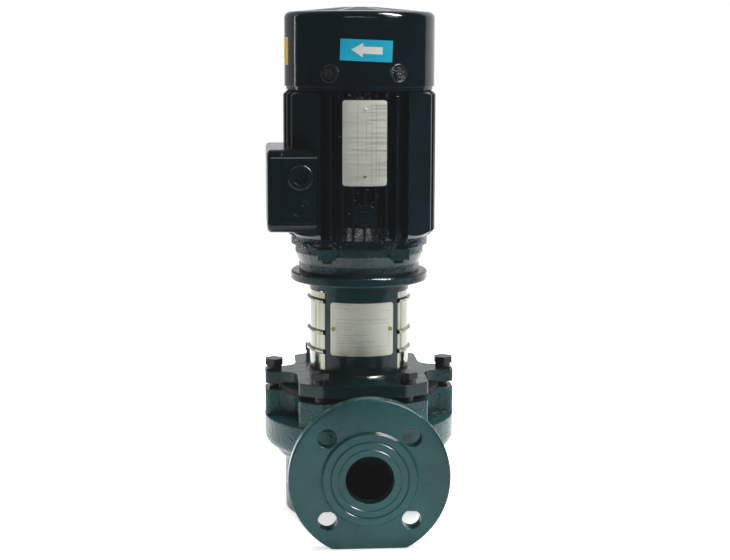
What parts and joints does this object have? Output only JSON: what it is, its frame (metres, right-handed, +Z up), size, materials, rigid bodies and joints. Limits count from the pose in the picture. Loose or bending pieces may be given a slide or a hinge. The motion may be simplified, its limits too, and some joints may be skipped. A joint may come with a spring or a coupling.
{
  "type": "vertical circulation pump",
  "caption": "In-line centrifugal pump on a round foot with a flanged port front and back, and its fan-cooled finned motor standing on top over a guarded coupling",
  "frame": {"origin": "on the floor under the middle of the shaft", "axes": "+Z up along the shaft, -Y out of the inlet port (the front in the picture), +X to the right seen from the front, away from the terminal box"},
  "size_m": [0.1884, 0.3, 0.496],
  "materials": {
    "green_paint": "gloss dark green over a cast skin",
    "grey_iron": "bare grey casting",
    "bare_iron": "oiled casting",
    "bronze": "machined",
    "polished_stainless": "polished sheet",
    "brushed_plate": "brushed sheet",
    "zinc_fastener": "zinc plated",
    "machined_steel": "ground",
    "core_steel": "stacked sheet",
    "copper_winding": "varnished",
    "black_rubber": "matt",
    "black_plastic": "moulded",
    "seal_carbon": "lapped"
  },
  "bodies": {
    "housing": {"cable_entry_plug": "green_paint", "casing": "green_paint", "casing_o_ring": "black_rubber", "cover_bolt_washers": "green_paint", "cover_bolts": "green_paint", "cowl_screws": "green_paint", "drive_end_bearing_outer_ring": "machined_steel", "drive_end_shield": "green_paint", "earth_screw": "green_paint", "fan_cowl": "green_paint", "fan_end_bearing_outer_ring": "machined_steel", "fan_end_shield": "green_paint", "guard_left": "polished_stainless", "guard_right": "polished_stainless", "lantern": "green_paint", "motor_flange_screws": "zinc_fastener", "motor_frame": "green_paint", "motor_nameplate": "brushed_plate", "motor_nameplate_rivets": "bronze", "pump_nameplate": "brushed_plate", "pump_nameplate_rivets": "bronze", "seal_cover": "bare_iron", "seal_seat": "seal_carbon", "shaft_lip_seal": "black_rubber", "stator_core": "core_steel", "stator_winding": "copper_winding", "terminal_board": "seal_carbon", "terminal_box": "green_paint", "terminal_box_gasket": "black_rubber", "terminal_box_lid": "green_paint", "terminal_box_screws": "zinc_fastener", "terminal_lid_screws": "green_paint", "terminal_studs": "bronze", "tie_bolts": "green_paint", "wave_washer": "machined_steel", "wear_ring": "bronze"},
    "rotor": {"pump_shaft": "machined_steel", "impeller": "grey_iron", "impeller_key": "machined_steel", "impeller_washer": "zinc_fastener", "impeller_nut": "zinc_fastener", "seal_head": "seal_carbon", "seal_spring": "machined_steel", "coupling_front_half": "grey_iron", "coupling_rear_half": "grey_iron", "coupling_screws": "zinc_fastener", "coupling_pin": "machined_steel", "motor_shaft": "machined_steel", "rotor_core": "core_steel", "drive_end_bearing_inner_ring": "machined_steel", "fan_end_bearing_inner_ring": "machined_steel", "fan": "black_plastic", "fan_circlip": "machined_steel"},
    "drive_end_balls": {"drive_end_bearing_ball_cage": "machined_steel"},
    "fan_end_balls": {"fan_end_bearing_ball_cage": "machined_steel"}
  },
  "joints": [
    {"name": "rotor_spin", "type": "hinge", "parent": "housing", "child": "rotor", "pos_m": [0, 0, 0.2], "axis": [0, 0, 1], "continuous": true},
    {"name": "drive_end_cage_spin", "type": "hinge", "parent": "housing", "child": "drive_end_balls", "pos_m": [0, 0, 0.255], "axis": [0, 0, 1], "continuous": true},
    {"name": "fan_end_cage_spin", "type": "hinge", "parent": "housing", "child": "fan_end_balls", "pos_m": [0, 0, 0.409], "axis": [0, 0, 1], "continuous": true}
  ],
  "couplings": [
    {"joint": "drive_end_cage_spin", "follows": "rotor_spin", "ratio": 0.3815},
    {"joint": "fan_end_cage_spin", "follows": "rotor_spin", "ratio": 0.3815}
  ]
}
